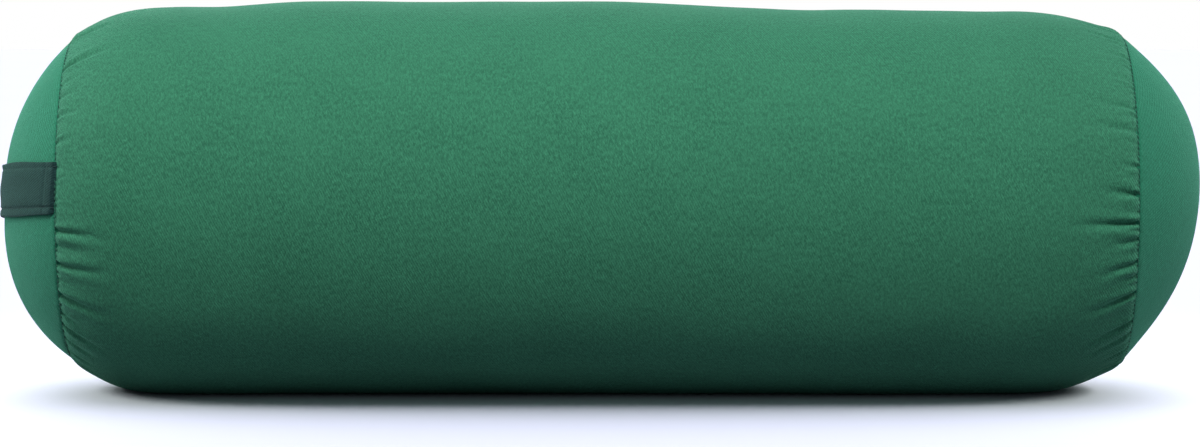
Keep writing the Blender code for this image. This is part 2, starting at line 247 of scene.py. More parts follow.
def draw_in_right_seam(points):
    """Moves the right seam towards the middle, on to a slightly larger ring, and eases off both ways."""
    x = points[:, 0] - CENTRE_X
    from_body = smoothstep(0.228, SEAM_HALF, x)
    to_pole = 1 - smoothstep(SEAM_HALF, POLE_HALF + 0.004, x)
    share = np.where(x < SEAM_HALF, from_body, to_pole)
    growth = 1 + RIGHT_SEAM_GROWTH * share
    moved = points.copy()
    moved[:, 0] -= RIGHT_SEAM_SHIFT * share
    moved[:, 1] *= growth
    moved[:, 2] = AXIS_Z + (points[:, 2] - AXIS_Z) * growth
    return moved


def rest_on_floor(z, softness=0.0015):
    """Flattens what would hang below the floor into a soft contact patch."""
    return 0.5 * (z + np.sqrt(z * z + softness**2))


# How the filling has settled in each end: how far its lower and upper half stand out.
SETTLED_LEFT = (0.0044, 0.0012)
SETTLED_RIGHT = (-0.0026, 0.0024)


def settled_depth(share, height, side):
    """Swell of an end panel's lower or upper half. Height runs from -1 at the bottom to 1 at the top."""
    low, high = SETTLED_LEFT if side < 0 else SETTLED_RIGHT
    swell = np.where(height < 0, low, high) * np.abs(height)
    return swell * 2.6 * (1 - share**2) * smoothstep(0, 0.25, share)


# Main gathers at each seam: angle above the horizontal at the front, length, depth, width and lean.
# Lengths are in metres and lean is in degrees, upwards as a gather runs away from its seam.
LEFT_GATHERS = (
    (75, 0.030, 0.0028, 0.0017, -3.0),
    (55.3, 0.032, 0.0028, 0.0017, 0.5),
    (46.6, 0.014, 0.0013, 0.0013, 1.0),
    (40.5, 0.012, 0.0010, 0.0012, 0.5),
    (33.5, 0.016, 0.0011, 0.0016, 0.0),
    (23.3, 0.014, 0.0010, 0.0016, 0.0),
    (-7.2, 0.034, 0.0026, 0.0017, -0.5),
    (-12.6, 0.030, 0.0013, 0.0023, 0.0),
    (-19.0, 0.036, 0.0024, 0.0016, 0.5),
    (-25.0, 0.016, 0.0010, 0.0013, 0.5),
    (-31.2, 0.034, 0.0030, 0.0018, -2.0),
    (-39.3, 0.014, 0.0016, 0.0013, -2.0),
    (-45.3, 0.028, 0.0022, 0.0016, -4.0),
    (-53.2, 0.022, 0.0018, 0.0015, -2.0),
    (-62.0, 0.020, 0.0014, 0.0014, -1.0),
    (-72.0, 0.022, 0.0016, 0.0015, 0.0),
)
RIGHT_GATHERS = (
    (80, 0.040, 0.0013, 0.0013, 0.0),
    (71, 0.034, 0.0012, 0.0013, 0.0),
    (60, 0.018, 0.0010, 0.0014, -1.0),
    (47, 0.016, 0.0008, 0.0013, 0.5),
    (35.4, 0.032, 0.0011, 0.0015, 0.0),
    (27.1, 0.040, 0.0013, 0.0021, 0.0),
    (14.4, 0.015, 0.0011, 0.0013, 0.5),
    (5.0, 0.026, 0.0028, 0.0018, 1.6),
    (-4.4, 0.046, 0.0031, 0.0017, 0.5),
    (-6.6, 0.016, 0.0012, 0.0010, 0.3),
    (-9.8, 0.020, 0.0018, 0.0014, -1.2),
    (-17.9, 0.030, 0.0023, 0.0016, -2.6),
    (-23.0, 0.014, 0.0010, 0.0013, -0.5),
    (-29.5, 0.036, 0.0027, 0.0017, -3.6),
    (-41.8, 0.036, 0.0018, 0.0017, -4.0),
    (-48.0, 0.034, 0.0014, 0.0016, -4.0),
    (-58.0, 0.020, 0.0013, 0.0014, -1.0),
    (-69.0, 0.024, 0.0015, 0.0015, 0.0),
)


# Least and greatest length, depth, width and lean (here in radians) of the other gathers.
BACK_GATHER = ((0.014, 0.036), (0.0009, 0.0024), (0.0013, 0.0018), (-0.05, 0.05))
PUCKER = ((0.005, 0.014), (0.0003, 0.0009), (0.0008, 0.0012), (-0.03, 0.03))
PUCKERS = 96
GATHER_REACH = 0.055  # no gather is longer than this


def gather_list(front, seed):
    """The gathers seen from the front, then others of the same kind round the back, then fine puckers."""
    rng = np.random.default_rng(seed)
    gathers = []
    for rise, length, depth, width, lean in front:
        gathers.append((math.radians(180 - rise), length, depth, width, math.radians(-lean)))
    for turn in np.arange(-66, 100, 12.5):
        angle = math.radians(turn + rng.uniform(-4, 4))
        gathers.append((angle, *(rng.uniform(*span) for span in BACK_GATHER)))
    for turn in np.linspace(0, TAU, PUCKERS, endpoint=False):
        angle = turn + rng.uniform(-0.025, 0.025)
        gathers.append((angle, *(rng.uniform(*span) for span in PUCKER)))
    return gathers


def gather_height(from_seam, angle, gathers):
    """Rise of the cloth near a seam: each gather is a narrow valley between two soft ridges."""
    rise = np.zeros_like(angle)
    near = from_seam < GATHER_REACH
    along = from_seam[near]
    around = angle[near]
    total = np.zeros_like(along)
    for centre, length, depth, width, lean in gathers:
        share = np.clip(along / length, 0, 1.4)
        swing = centre + lean * share
        off = (around - swing + math.pi) % TAU - math.pi
        arc = off * (SEAM_RADIUS + 0.35 * along)
        spread = width * (0.75 + 0.9 * share)
        fade = np.clip(1 - share**1.3, 0, 1) ** 1.5
        valley = np.exp(-((arc / spread) ** 2))
        ridge = np.exp(-(((np.abs(arc) - 2.3 * spread) / (1.6 * spread)) ** 2))
        total += depth * fade * (0.42 * ridge - valley)
    rise[near] = total
    return rise


def body_height(x, angle, left, right):
    """How far the body panel stands from its plain outline."""
    from_left = SEAM_HALF + x
    from_right = SEAM_HALF - x
    rise = gather_height(from_left, angle, left) + gather_height(from_right, angle, right)
    nearest = np.minimum(from_left, from_right)
    rise -= 0.0012 * np.exp(-((nearest / 0.0016) ** 2))
    rise += 0.0002 * np.exp(-(((nearest - 0.006) / 0.004) ** 2))
    return rise


def body_rows(steps, fold):
    """Places along the body, close together near the seams, and how far each row is folded in."""
    row = np.arange(steps + 1)
    inner = np.clip((row - fold) / (steps - 2 * fold), 0, 1)
    half = np.minimum(inner, 1 - inner) * 2
    growth = 2.2
    from_seam = SEAM_HALF * (np.exp(growth * half) - 1) / (math.exp(growth) - 1)
    x = np.where(inner < 0.5, -SEAM_HALF + from_seam, SEAM_HALF - from_seam)
    return x, np.maximum(fold - row, row - (steps - fold)).clip(0)


BODY_CAP = 0.0032  # the most that the simulated swell may move the cloth
END_CAP = 0.0022
CLOTH_FRAMES = 14
CLOTH_PRESSURE = 4.0


def make_cloth(piece, pinned, rest):
    """Gives a piece the weight and stiffness of twill, sewn down at its pinned corners."""
    group = piece.vertex_groups.new(name="sewn")
    group.add([int(i) for i in np.flatnonzero(pinned)], 1.0, "REPLACE")
    piece.shape_key_add(name="sewn_up")
    key = piece.shape_key_add(name="cut_cloth")
    key.data.foreach_set("co", np.ascontiguousarray(rest, dtype=np.float32).ravel())
    key.value = 0.0
    cloth = piece.modifiers.new("cloth", "CLOTH")
    settings = cloth.settings
    settings.vertex_group_mass = "sewn"
    settings.rest_shape_key = key
    settings.quality = 6
    settings.mass = 0.25
    settings.tension_stiffness = 18
    settings.compression_stiffness = 18
    settings.shear_stiffness = 6
    settings.bending_stiffness = 0.08
    settings.air_damping = 2.0
    settings.use_pressure = True
    settings.uniform_pressure_force = CLOTH_PRESSURE
    settings.effector_weights.gravity = 0
    cloth.collision_settings.use_collision = False
    cloth.point_cache.frame_start = 1
    cloth.point_cache.frame_end = CLOTH_FRAMES


def run_cloth(piece, pinned, rest, most):
    """Inflates a piece, and gives how far each corner moved, never more than the given cap."""
    start = corners(piece)
    make_cloth(piece, pinned, rest)
    scene = bpy.context.scene
    for frame_number in range(1, CLOTH_FRAMES + 1):
        scene.frame_set(frame_number)
    settled = piece.evaluated_get(bpy.context.evaluated_depsgraph_get())
    moved = np.empty(len(start) * 3)
    settled.data.vertices.foreach_get("co", moved)
    scene.frame_set(1)
    bpy.data.objects.remove(piece, do_unlink=True)
    moves = moved.reshape(-1, 3) - start
    length = np.linalg.norm(moves, axis=1)
    return moves * (most * np.tanh(length / most) / np.maximum(length, 1e-9))[:, None]


def read_grid(values, across, along):
    """Reads a grid of rows at in-between places, given in steps."""
    rows, columns = values.shape[:2]
    i = np.clip(np.floor(along).astype(int), 0, rows - 2)
    j = np.clip(np.floor(across).astype(int), 0, columns - 2)
    s, t = (along - i)[:, None], (across - j)[:, None]
    low = values[i, j] * (1 - t) + values[i, j + 1] * t
    high = values[i + 1, j] * (1 - t) + values[i + 1, j + 1] * t
    return low * (1 - s) + high * s


def inflate_body(columns=232, rows=128):
    """Simulates the gathered tube: it was cut as a straight one, and is sewn down to the smaller ends."""
    piece, across, along = cloth_grid("body_cloth_trial", columns, rows)
    stations, _ = body_rows(rows, 0)
    x = stations[np.rint(along * rows).astype(int)]
    angle = ZIP_ANGLE + across * TAU
    rng = np.random.default_rng(5)
    uneven = 0.0005 * rng.standard_normal(len(x)) * np.exp(-(SEAM_HALF - np.abs(x)) / 0.02)
    radius = outline_radius(x, angle) - 0.0005 + uneven
    cut = RADIUS * (1.004 + 0.02 * shoulder_share(x))
    rest = round_axis(x * 1.012, cut, angle)
    place(piece, round_axis(x, radius, angle))
    beside_zip = np.minimum(across, 1 - across) * TAU * RADIUS < 0.014
    pinned = (np.abs(x) > SEAM_HALF - 1e-6) | beside_zip
    moves = run_cloth(piece, pinned, rest, BODY_CAP)
    away = moves[:, 1] * np.cos(angle) + moves[:, 2] * np.sin(angle)
    return away.reshape(rows + 1, columns + 1, 1), stations


def body_swell(x, angle):
    """The simulated swell, read at the final mesh's corners and held back beside the seams."""
    away, coarse = inflate_body()
    steps_along = np.interp(x, coarse, np.arange(len(coarse)))
    steps_across = ((angle - ZIP_ANGLE) / TAU) * (away.shape[1] - 1)
    held = 0.4 + 0.6 * smoothstep(0, 0.05, SEAM_HALF - np.abs(x))
    return held * read_grid(away, steps_across, steps_along)[:, 0]


def build_body(around_steps=640, along_steps=216, fold=3):
    """The long panel: it starts and ends at the back seam, where its edges fold in beside the zip."""
    piece, across, along = cloth_grid("cover_body_panel_cloth", around_steps, along_steps)
    stations, folded = body_rows(along_steps, fold)
    row = np.rint(along * along_steps).astype(int)
    x, tucked_end = stations[row], folded[row]
    column = np.rint(across * around_steps)
    turn = np.clip((column - fold) / (around_steps - 2 * fold), 0, 1)
    tucked_side = np.maximum(fold - column, column - (around_steps - fold)).clip(0)
    beyond = smoothstep(ZIP_HALF, ZIP_HALF + SLOT_TAPER, np.abs(x))
    edge = (SLOT_HALF * (1 - beyond) + 0.00012) / RADIUS
    angle = ZIP_ANGLE + edge + turn * (TAU - 2 * edge)
    seam_off = RADIUS * np.minimum(turn, 1 - turn) * TAU

    left, right = gather_list(LEFT_GATHERS, 11), gather_list(RIGHT_GATHERS, 23)
    plain = round_axis(x, RADIUS, angle)
    calm = smoothstep(0.012, 0.05, seam_off)
    radius = outline_radius(x, angle) + body_height(x, angle, left, right)
    radius += calm * (0.0009 * lumps(plain, 0.11, 3.0) + 0.0004 * lumps(plain, 0.035, 9.0))
    radius += body_swell(x, angle)
    radius -= beyond * 0.0012 * np.exp(-((seam_off / 0.0016) ** 2))
    radius -= 0.0010 * tucked_end**1.3
    radius -= np.interp(tucked_side, (0, 1, 2, 3), (0, 0.0006, 0.0011, 0.0012))
    back_under = np.interp(tucked_side, (0, 1, 2, 3), (0, -0.0002, 0.0004, 0.0040))
    angle = angle + np.sign(0.5 - turn) * back_under / RADIUS * (1 - beyond)

    spots = draw_in_right_seam(round_axis(x, radius, angle, CENTRE_X, AXIS_Z))
    spots[:, 2] = rest_on_floor(spots[:, 2])
    place(piece, spots)
    give_uv(piece, x, angle * RADIUS)
    return close_up(piece, centre=(0, 0, AXIS_Z))


def disc_to_square(y, z):
    """The place on a square, from -1 to 1, that stands for a place on the unit disc."""
    twice = 2 * math.sqrt(2)
    first = 2 + y * y - z * z
    second = 2 - y * y + z * z
    u = np.sqrt(np.clip(first + twice * y, 0, None)) - np.sqrt(np.clip(first - twice * y, 0, None))
    v = np.sqrt(np.clip(second + twice * z, 0, None)) - np.sqrt(np.clip(second - twice * z, 0, None))
    return np.clip(u / 2, -1, 1), np.clip(v / 2, -1, 1)


def inflate_end(side, steps=72):
    """Simulates a round end panel that is cut a little large and sewn down all round."""
    piece, across, along = cloth_grid("end_cloth_trial", steps, steps)
    u, v = across * 2 - 1, along * 2 - 1
    y, z = u * np.sqrt(1 - v * v / 2), v * np.sqrt(1 - u * u / 2)
    share = np.hypot(y, z)
    rng = np.random.default_rng(41 + side)
    depth = dome_depth(share * SEAM_RADIUS, side) + 0.0003 * rng.standard_normal(len(y)) * share
    start = np.stack([side * (POLE_HALF - depth), y * SEAM_RADIUS, z * SEAM_RADIUS], axis=1)
    if side < 0:
        start = start.reshape(steps + 1, steps + 1, 3)[:, ::-1].reshape(-1, 3)
        share = share.reshape(steps + 1, steps + 1)[:, ::-1].ravel()
    place(piece, start)
    rest = start * np.array([1.03, 1.022, 1.022])
    moves = run_cloth(piece, share > 0.995, rest, END_CAP)
    grid = (side * moves[:, 0]).reshape(steps + 1, steps + 1)
    return (grid[:, ::-1] if side < 0 else grid)[..., None]


def build_end(side, around_steps=384, ring_steps=64, fold=3):
    """A round end panel, crowned by the filling, with its edge tucked into the seam."""
    piece, across, along = cloth_grid(f"cover_end_panel_{SIDES[side]}_cloth", around_steps, ring_steps)
    row = np.rint(along * ring_steps)
    tucked = (row - (ring_steps - fold)).clip(0)
    share = np.sin(np.clip(row / (ring_steps - fold), 0, 1) * math.pi / 2)
    angle = across * TAU
    radius = share * SEAM_RADIUS
    to_edge = (SEAM_RADIUS - radius) * 1.3
    ripple = 0.30 * gather_height(to_edge, angle, gather_list((), 31 + side)) * smoothstep(0, 0.003, to_edge)
    plain = round_axis(np.full_like(radius, side), radius, angle)
    ripple += (0.0009 * lumps(plain, 0.06, 4.0 + side) - 0.0003) * (1 - share**2)
    ripple -= 0.0014 * np.exp(-((to_edge / 0.0020) ** 2))
    ripple += settled_depth(share, share * np.sin(angle), side)
    bulge = inflate_end(side)
    u, v = disc_to_square(share * np.cos(angle), share * np.sin(angle))
    half = (bulge.shape[0] - 1) / 2
    ripple += read_grid(bulge, (u + 1) * half, (v + 1) * half)[:, 0]
    out = round_axis(side * (1 - 0.45 * share), 0.68 * share, angle)
    out /= np.linalg.norm(out, axis=1)[:, None]
    x = side * (POLE_HALF - END_PLAY - dome_depth(radius, side))
    spots = round_axis(x, radius - 0.0010 * tucked**1.3, angle, CENTRE_X, AXIS_Z)
    place(piece, draw_in_right_seam(spots + out * ripple[:, None]))
    give_uv(piece, radius * np.cos(angle), radius * np.sin(angle))
    return close_up(piece, centre=(side * SEAM_HALF / 2, 0, AXIS_Z))


# ---------------------------------------------------------------- lining and filling

LINER_INSET = 0.0042
FILL_INSET = 0.0056
FILL_LOW = 0.0026
CORE_RADIUS = 0.080
CORE_HALF = 0.262


def turned_cloth(name, x, radius, around, bumps, size, floor):
    """A closed soft form from stations along it; its surface is uneven and it rests on its flat base."""
    rows = len(x) - 1
    piece, across, along = cloth_grid(name, around, rows)
    row = np.rint(along * rows).astype(int)
    angle = across * TAU
    reach = radius(x[row], angle, row)
    uneven = 0.5 + 0.5 * lumps(round_axis(x[row], reach, angle), size, 2.0)
    reach = reach - bumps * uneven * (reach > 0.004)
    spots = draw_in_right_seam(round_axis(x[row], reach, angle, CENTRE_X, AXIS_Z))
    spots[:, 2] = np.maximum(spots[:, 2], floor)
    place(piece, spots)
    give_uv(piece, x[row] + reach * 0.3, angle * RADIUS)
    return close_up(piece, centre=(CENTRE_X + (x[0] + x[-1]) / 2, 0, AXIS_Z))


def end_crown(inset, side, start, steps=14):
    """Stations and radii of a crowned end, from its edge to its pole."""
    share = np.cos(np.linspace(0, math.pi / 2, steps))
    reach = (SEAM_RADIUS - inset) * share
    x = side * (POLE_HALF - inset - dome_depth(share * SEAM_RADIUS, side))
    return np.where(side * x < start, side * start, x), reach


LINER_SEAM = 0.0004  # half the gap between the lining's panels
LINER_FINISH = (144, 0.0004, 0.03, 0.0016)  # steps round, height and size of its bumps, lowest place


def build_liner_body():
    x = np.linspace(-SEAM_HALF + LINER_SEAM, SEAM_HALF - LINER_SEAM, 90)

    def radius(at, angle, row):
        return outline_radius(at, angle, LINER_INSET)

    return turned_cloth("liner_body_cloth", x, radius, *LINER_FINISH)


def build_liner_end(side):
    x, reach = end_crown(LINER_INSET, side, SEAM_HALF + LINER_SEAM)
    return turned_cloth(f"liner_end_{SIDES[side]}_cloth", x, lambda at, angle, row: reach[row], *LINER_FINISH)


def build_wadding():
    """A sleeve of wadding, with soft rounded ends, around the foam."""
    outer = np.linspace(-CORE_HALF, CORE_HALF, 80)
    x = np.concatenate([[-CORE_HALF], outer, [CORE_HALF, -CORE_HALF]])
    inner = CORE_RADIUS + 0.0007

    def radius(at, angle, row):
        outside = outline_radius(at, angle, FILL_INSET + 0.0004)
        near_end = smoothstep(0, 0.006, CORE_HALF - np.abs(at))
        outside = inner + (outside - inner) * (0.75 + 0.25 * near_end)
        return np.where((row == 0) | (row >= len(x) - 2), inner, outside)

    return turned_cloth("batting_wrap_fill", x, radius, 160, 0.0012, 0.014, FILL_LOW)


def build_end_pad(side):
    """Loose fibre packed between the foam's end and the lining."""
    start = CORE_HALF + 0.0012
    body = side * np.linspace(start, SEAM_HALF, 12)
    crown_x, crown = end_crown(FILL_INSET, side, SEAM_HALF)
    x = np.concatenate([[side * start], body, crown_x])

    def radius(at, angle, row):
        shoulder = outline_radius(at, angle, FILL_INSET)
        domed = crown[np.clip(row - 1 - len(body), 0, len(crown) - 1)]
        return np.where(row == 0, 0, np.where(row <= len(body), shoulder, domed))

    return turned_cloth(f"fibre_end_pad_{SIDES[side]}_fill", x, radius, 144, 0.0022, 0.012, FILL_LOW)


def build_core():
    """The foam cylinder, with its sawn ends slightly eased."""
    clear_selection()
    radius, depth = CORE_RADIUS - 0.0003, CORE_HALF * 2 - 0.0006
    bpy.ops.mesh.primitive_cylinder_add(vertices=128, radius=radius, depth=depth)
    piece = bpy.context.object
    piece.name = "foam_core_block"
    piece.rotation_euler = (0, math.pi / 2, 0)
    piece.location = (CENTRE_X, 0, AXIS_Z)
    finish_place(piece)
    ease_edges(piece, 0.003, 3)
    apply_modifiers(piece)
    bpy.ops.object.shade_smooth_by_angle(angle=math.radians(35))
    return piece


# ---------------------------------------------------------------- stitches and strap


def model_stitch(length, radius):
    """One stitch, lying along X with +Z up: a bead of thread that dives in at both ends."""
    clear_selection()
    bpy.ops.mesh.primitive_uv_sphere_add(segments=8, ring_count=6, radius=1)
    stitch = bpy.context.object
    stitch.rotation_euler = (0, math.pi / 2, 0)
    finish_place(stitch)
    points = corners(stitch)
    body = np.clip(np.hypot(points[:, 1], points[:, 2]), 0, 1) ** 0.6
    away = np.maximum(np.hypot(points[:, 1], points[:, 2]), 1e-9)
    sink = radius * (0.9 * points[:, 0] ** 4)
    y = points[:, 1] / away * body * radius
    z = points[:, 2] / away * body * radius - sink
    place(stitch, np.stack([points[:, 0] * length / 2, y, z], axis=1))
    return stitch


def stitch_row(name, path, outward, length, gap, radius, lean=0.0):
    """Copies one stitch along a path. Outward is the cloth's direction at each point of the path."""
    stitch = model_stitch(length, radius)
    path, outward = np.asarray(path), np.asarray(outward)
    steps = np.linalg.norm(np.diff(path, axis=0), axis=1)
    reach = np.concatenate([[0], np.cumsum(steps)])
    count = max(1, int(reach[-1] / (length + gap)))
    row = bmesh.new()
    for i in range(count):
        at = (i + 0.5) * reach[-1] / count
        middle, ahead, up = (
            Vector([float(np.interp(at + step, reach, values[:, c])) for c in range(3)])
            for values, step in ((path, 0), (path, 2e-4), (outward, 0))
        )
        forward = (ahead - middle).normalized()
        up = (up - forward * up.dot(forward)).normalized()
        turned = Matrix((forward, up.cross(forward), up)).transposed() @ Matrix.Rotation(lean, 3, "Z")
        first = len(row.verts)
        row.from_mesh(stitch.data)
        row.verts.ensure_lookup_table()
        bmesh.ops.transform(row, matrix=Matrix.Translation(middle) @ turned.to_4x4(), verts=row.verts[first:])
    bpy.data.objects.remove(stitch, do_unlink=True)
    mesh = bpy.data.meshes.new(name)
    row.to_mesh(mesh)
    row.free()
    mesh.shade_smooth()
    piece = bpy.data.objects.new(name, mesh)
    link(piece)
    return piece


def build_seam_thread(side):
    """Stitches in the groove between the body and an end panel."""
    angle = np.linspace(0, TAU, 721)
    x = np.full_like(angle, side * (SEAM_HALF + 0.0001))
    path = draw_in_right_seam(round_axis(x, SEAM_RADIUS - 0.0009, angle, CENTRE_X, AXIS_Z))
    outward = round_axis(np.full_like(angle, side * 0.5), 1.0, angle)
    return stitch_row(f"seam_thread_{SIDES[side]}_stitches", path, outward, 0.0023, 0.0009, 0.00036, 0.18)


STRAP_HALF = 0.0150
STRAP_RISE = 0.0047
STRAP_TURN = math.radians(4.6)
STRAP_REACH = 0.985  # its ends go down into the seams just short of the body panel
STRAP_THICK = 0.0016
STRAP_STITCH_TOP = 0.0030
STRAP_STITCH_BELOW = 0.0044
TACK_FROM_SEAM = 0.0090
STRAP_HALF_ARC = 0.104  # from its middle to a seam, along the end panel


def strap_spot(share, across, lift):
    """A place over the left end: share runs from -1 at the front seam to 1 at the back."""
    share = np.asarray(share, dtype=float)
    across = np.asarray(across, dtype=float)
    height = STRAP_RISE + across
    reach = np.sqrt(np.clip(SEAM_RADIUS**2 - height**2, 0, None))
    widest = np.arcsin(reach / np.sqrt(SPHERE**2 - height**2))
    swing = share * widest
    level = np.sqrt(SPHERE**2 - height**2)
    y = level * np.sin(swing)
    z = height - y * math.tan(STRAP_TURN)
    away = np.hypot(y, z)
    x = dome_depth(away, -1) - (POLE_HALF - END_PLAY)
    out = np.stack([-(SPHERE - dome_depth(away, -1)), y, z], axis=-1)
    out /= np.linalg.norm(out, axis=-1)[..., None]
    spot = np.stack([CENTRE_X + x, y, AXIS_Z + z], axis=-1)
    return spot + out * np.asarray(lift)[..., None], out


def strap_lift(share, across):
    """Height of the strap's face over the end panel: puffed edges, stitch grooves and a little slack."""
    edge = STRAP_HALF - np.abs(across)
    stitch = np.where(across > 0, STRAP_STITCH_TOP, STRAP_STITCH_BELOW)
    lift = 0.0004 + STRAP_THICK
    lift = lift - 0.00085 * np.exp(-(((edge - stitch) / 0.0006) ** 2))
    lift = lift + 0.00025 * np.exp(-(((edge - 0.0015) / 0.0012) ** 2))
    lift = lift + 0.0003 * np.sin(across * 420 + 1.2) * np.cos(share * 5.0)
    lift = lift + 0.0005 * np.cos(share * math.pi / 2) ** 2
    arc = (1 - np.abs(share)) * STRAP_HALF_ARC
    lift = lift - 0.0004 * np.exp(-(((arc - TACK_FROM_SEAM) / 0.0006) ** 2))
    return lift - 0.0034 * np.exp(-((arc / 0.0016) ** 2))


def build_strap():
    """The folded carry strap, sewn into the seam at both ends and topstitched along both edges."""
    piece, along, across = cloth_grid("handle_strap_cloth", 160, 26)
    share = along * 2 - 1
    reach = (across * 2 - 1) * STRAP_HALF
    wander = 0.0004 * np.sin(share * 9 + 0.6) * np.sign(reach) * (np.abs(reach) / STRAP_HALF) ** 4
    spots, _ = strap_spot(share * STRAP_REACH, reach + wander, strap_lift(share, reach))
    place(piece, spots)
    give_uv(piece, share * 0.105, reach)
    close_up(piece, 1e-6, (-SEAM_HALF / 2, 0, AXIS_Z))
    thicken(piece, STRAP_THICK - 0.0003)
    ease_edges(piece, 0.0004, 2)
    apply_modifiers(piece)
    piece.data.shade_smooth()
    return piece


def build_strap_stitches():
    made = []
    share = np.linspace(-STRAP_REACH, STRAP_REACH, 240)
    rows = (("top", STRAP_HALF - STRAP_STITCH_TOP), ("below", STRAP_STITCH_BELOW - STRAP_HALF))
    for name, across in rows:
        reach = np.full_like(share, across)
        path, outward = strap_spot(share, reach, strap_lift(share, reach) + 0.0001)
        made.append(stitch_row(f"handle_topstitch_{name}", path, outward, 0.0024, 0.0007, 0.00024))
    reach = np.linspace(STRAP_STITCH_BELOW - STRAP_HALF, STRAP_HALF - STRAP_STITCH_TOP, 60)
    for name, side in (("front", -1), ("rear", 1)):
        at = np.full_like(reach, side * (1 - TACK_FROM_SEAM / STRAP_HALF_ARC))
        path, outward = strap_spot(at, reach, strap_lift(at, reach) + 0.0001)
        tack = stitch_row(f"handle_stitching_{name}_thread", path, outward, 0.0021, 0.0006, 0.00026)
        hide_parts(f"handle_stitching_{name}")
        made.append(tack)
    return made


# ---------------------------------------------------------------- zip

TAPE_OVERRUN = 0.0120
TAPE_CORD = 0.0036  # where the cord woven into the tape lies
TAPE_EDGE_OPEN = 0.00055  # from the middle of the chain, clear of the slider's wedge
TAPE_EDGE_SHUT = 0.00004
TAPE_EDGE_FAR = 0.0130
COIL_PITCH = 0.00110
COIL_WIRE = 0.00026
COIL_HALF = 0.2112
CHAIN_BOTTOM = -0.0014  # heights are measured outwards from the cover's round surface
CHAIN_TOP = 0.0002
COIL_INNER = -0.00040  # a loop's head reaches past the middle
COIL_OUTER = 0.0029
STOP_START = 0.2115
STOP_END = 0.2145


def to_back_seam(piece):
    """Places a piece modelled with +Y outwards from the seam and +Z up across it."""
    turned = Matrix.Translation((CENTRE_X, 0, AXIS_Z)) @ Matrix.Rotation(ZIP_ANGLE, 4, "X")
    piece.data.transform(turned @ Matrix.Translation((0, RADIUS, 0)))
    piece.data.update()
    return piece


def add_block(name, low, high, bevel, segments=3):
    """A block between two corners, with all its edges rounded."""
    clear_selection()
    bpy.ops.mesh.primitive_cube_add(size=1)
    block = bpy.context.object
    block.name = name
    block.scale = [h - l for l, h in zip(low, high)]
    block.location = [(l + h) / 2 for l, h in zip(low, high)]
    finish_place(block)
    with editing(block):
        bpy.ops.mesh.bevel(offset=bevel, segments=segments, affect="EDGES")
    return block


def join_pieces(pieces, name):
    clear_selection()
    for piece in pieces:
        piece.select_set(True)
    bpy.context.view_layer.objects.active = pieces[0]
    if len(pieces) > 1:
        bpy.ops.object.join()
    pieces[0].name = name
    bpy.ops.object.shade_smooth_by_angle(angle=math.radians(40))
    return pieces[0]


def build_tape(name, side):
    """Woven tape with a corded edge beside the coil."""
    piece, along, across = cloth_grid(f"zip_tape_{name}_cloth", 220, 14)
    reach = (ZIP_HALF + TAPE_OVERRUN) * (along * 2 - 1)
    past_stops = smoothstep(COIL_HALF + 0.0036, COIL_HALF + 0.0050, np.abs(reach))
    inner = TAPE_EDGE_OPEN + (TAPE_EDGE_SHUT - TAPE_EDGE_OPEN) * past_stops
    out = inner + across * (TAPE_EDGE_FAR - inner)
    height = -TAPE_DEPTH - 0.00005 + 0.00012 * np.exp(-(((out - TAPE_CORD) / 0.0005) ** 2))
    radius = RADIUS + height
    turn = side * out / RADIUS
    place(piece, np.stack([reach, radius * np.cos(turn) - RADIUS, radius * np.sin(turn)], axis=1))
    give_uv(piece, reach, out)
    close_up(piece, 1e-7)
    if sum(face.normal.y for face in piece.data.polygons) < 0:
        piece.data.flip_normals()
    thicken(piece, 0.0005)
    apply_modifiers(piece)
    return to_back_seam(piece)


def build_coil(name, side):
    """One loop of nylon, copied down the row. Its rounded head reaches past the middle to lock."""
    clear_selection()
    fat = 0.30
    bpy.ops.mesh.primitive_torus_add(major_segments=10, minor_segments=5, major_radius=1, minor_radius=fat)
    loop = bpy.context.object
    loop.name = f"zip_coil_{name}_loops"
    loop.rotation_euler = (0, math.pi / 2, 0)
    finish_place(loop)
    points = corners(loop)
    middle, half = (COIL_INNER + COIL_OUTER) / 2, (COIL_OUTER - COIL_INNER) / 2 - COIL_WIRE
    tall = (CHAIN_TOP - CHAIN_BOTTOM) / 2 - COIL_WIRE
    away = np.maximum(np.hypot(points[:, 1], points[:, 2]), 1e-9)
    ring_y, ring_z = points[:, 1] / away, points[:, 2] / away
    thick = (away - 1) / fat * COIL_WIRE
    lean = 0.25 * COIL_PITCH * ring_z
    x = points[:, 0] / fat * COIL_WIRE + lean
    y = (CHAIN_TOP + CHAIN_BOTTOM) / 2 + ring_y * (tall + thick)
    z = middle + ring_z * (half + thick)
    start = -COIL_HALF + (COIL_PITCH / 2 if side < 0 else 0)
    place(loop, np.stack([x + start, y, z * side], axis=1))
    if side < 0:
        loop.data.flip_normals()
    row = loop.modifiers.new("row", "ARRAY")
    row.count = int(2 * COIL_HALF / COIL_PITCH)
    row.use_relative_offset = False
    row.use_constant_offset = True
    row.constant_offset_displace = (COIL_PITCH, 0, 0)
    apply_modifiers(loop)
    loop.data.shade_smooth()
    return to_back_seam(loop)


def build_stop(name, low_x, high_x, low_z, high_z):
    """A crimped metal stop with a pinched waist."""
    low = (low_x, CHAIN_BOTTOM, low_z)
    high = (high_x, CHAIN_TOP, high_z)
    stop = add_block(name, low, high, 0.00055, 4)
    with editing(stop):
        bpy.ops.mesh.bisect(plane_co=((low_x + high_x) / 2, 0, 0), plane_no=(1, 0, 0))
        bpy.ops.transform.resize(value=(1, 0.82, 0.94))
    return to_back_seam(join_pieces([stop], name))


